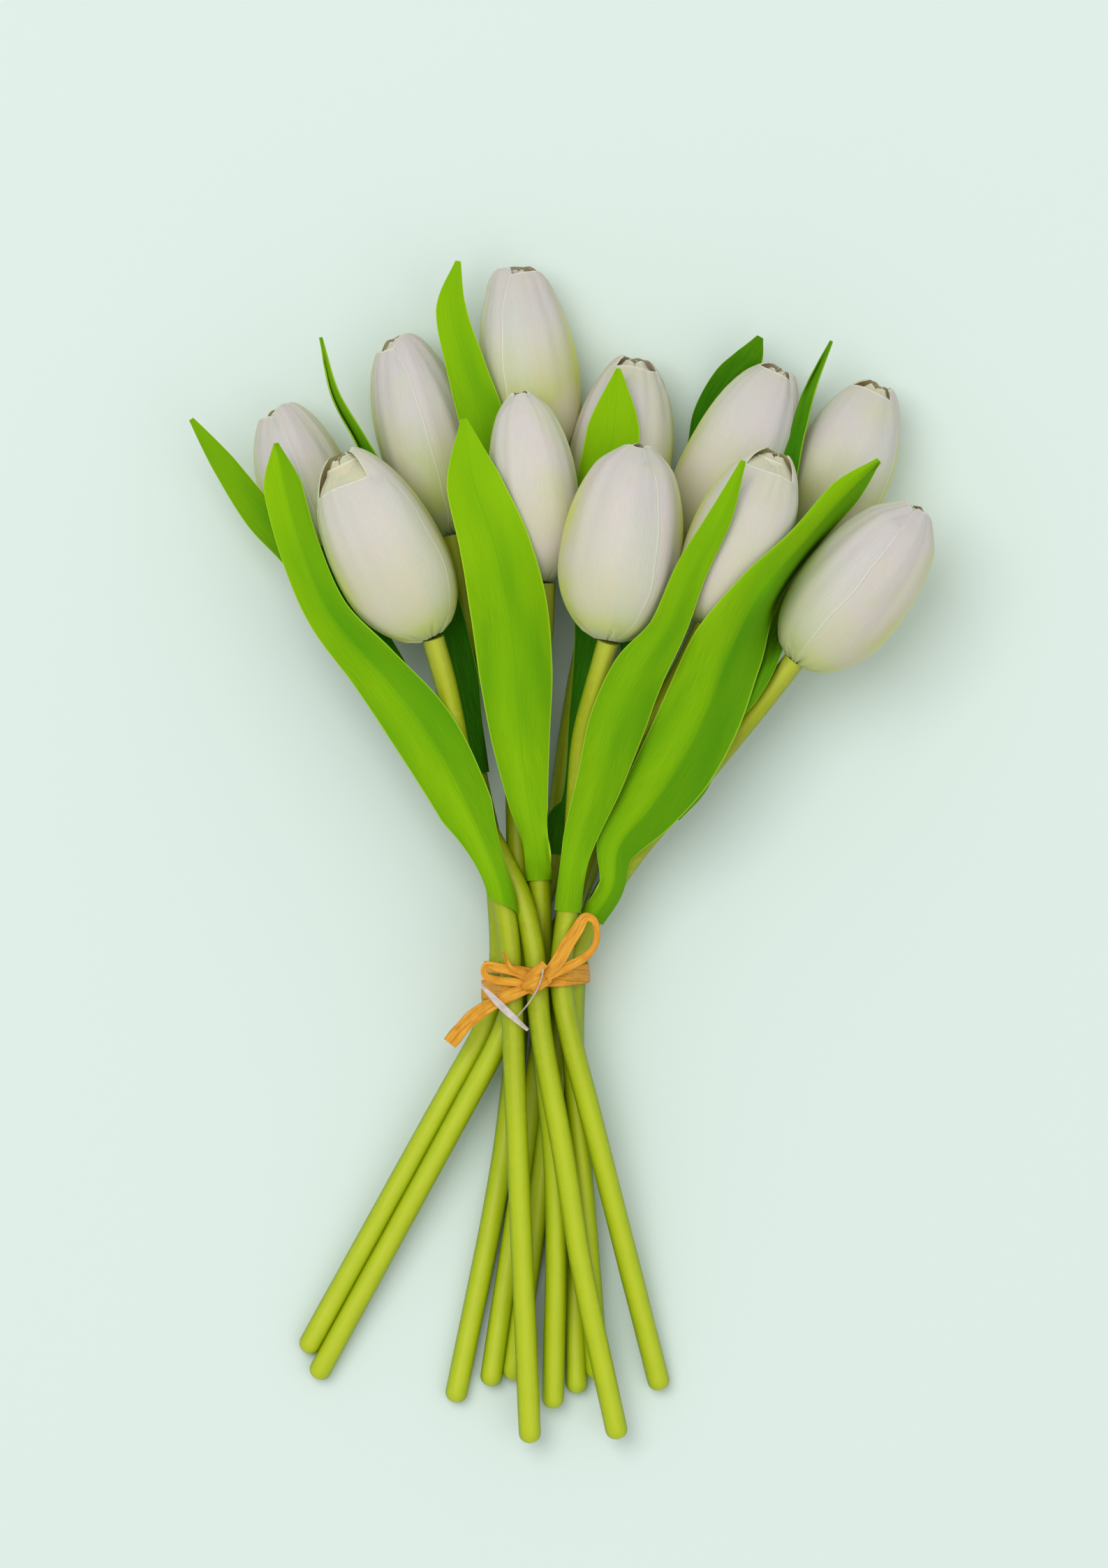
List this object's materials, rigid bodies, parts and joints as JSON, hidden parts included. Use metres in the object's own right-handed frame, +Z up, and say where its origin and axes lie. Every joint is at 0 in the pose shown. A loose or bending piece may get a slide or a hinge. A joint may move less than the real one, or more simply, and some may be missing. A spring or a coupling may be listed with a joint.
{
  "type": "bunch of artificial tulips",
  "caption": "White closed tulip blooms on green stems with long pointed leaves, gathered into a bunch with an orange raffia tie and lying flat.",
  "frame": {"origin": "centre of the bunch's footprint, on the surface that it lies on", "axes": "+Y along the bunch from the stem ends to the blooms, +X to the right seen from above with the blooms away from the viewer, +Z up"},
  "size_m": [0.2124, 0.3421, 0.0623],
  "materials": {
    "petal": "matte coated foam, off-white with lilac and green tints",
    "stem": "soft satin plastic, yellow-green",
    "leaf": "stiffened fine-woven fabric, lime green with lengthwise veins",
    "raffia": "dry fibrous raffia strip, orange",
    "pin": "translucent off-white plastic"
  },
  "bodies": {
    "root": {"bloom_01": "petal", "bloom_02": "petal", "bloom_03": "petal", "bloom_04": "petal", "bloom_05": "petal", "bloom_06": "petal", "bloom_07": "petal", "bloom_08": "petal", "bloom_09": "petal", "bloom_10": "petal", "bloom_11": "petal", "stem_01": "stem", "stem_02": "stem", "stem_03": "stem", "stem_04": "stem", "stem_05": "stem", "stem_06": "stem", "stem_07": "stem", "stem_08": "stem", "stem_09": "stem", "stem_10": "stem", "stem_11": "stem", "leaf_01": "leaf", "leaf_02": "leaf", "leaf_03": "leaf", "leaf_04": "leaf", "leaf_05": "leaf", "leaf_06": "leaf", "leaf_07": "leaf", "leaf_08": "leaf", "leaf_09": "leaf", "leaf_10": "leaf", "leaf_11": "leaf", "leaf_12": "leaf", "raffia_tie": "raffia", "tag_pin": "pin"}
  },
  "joints": []
}
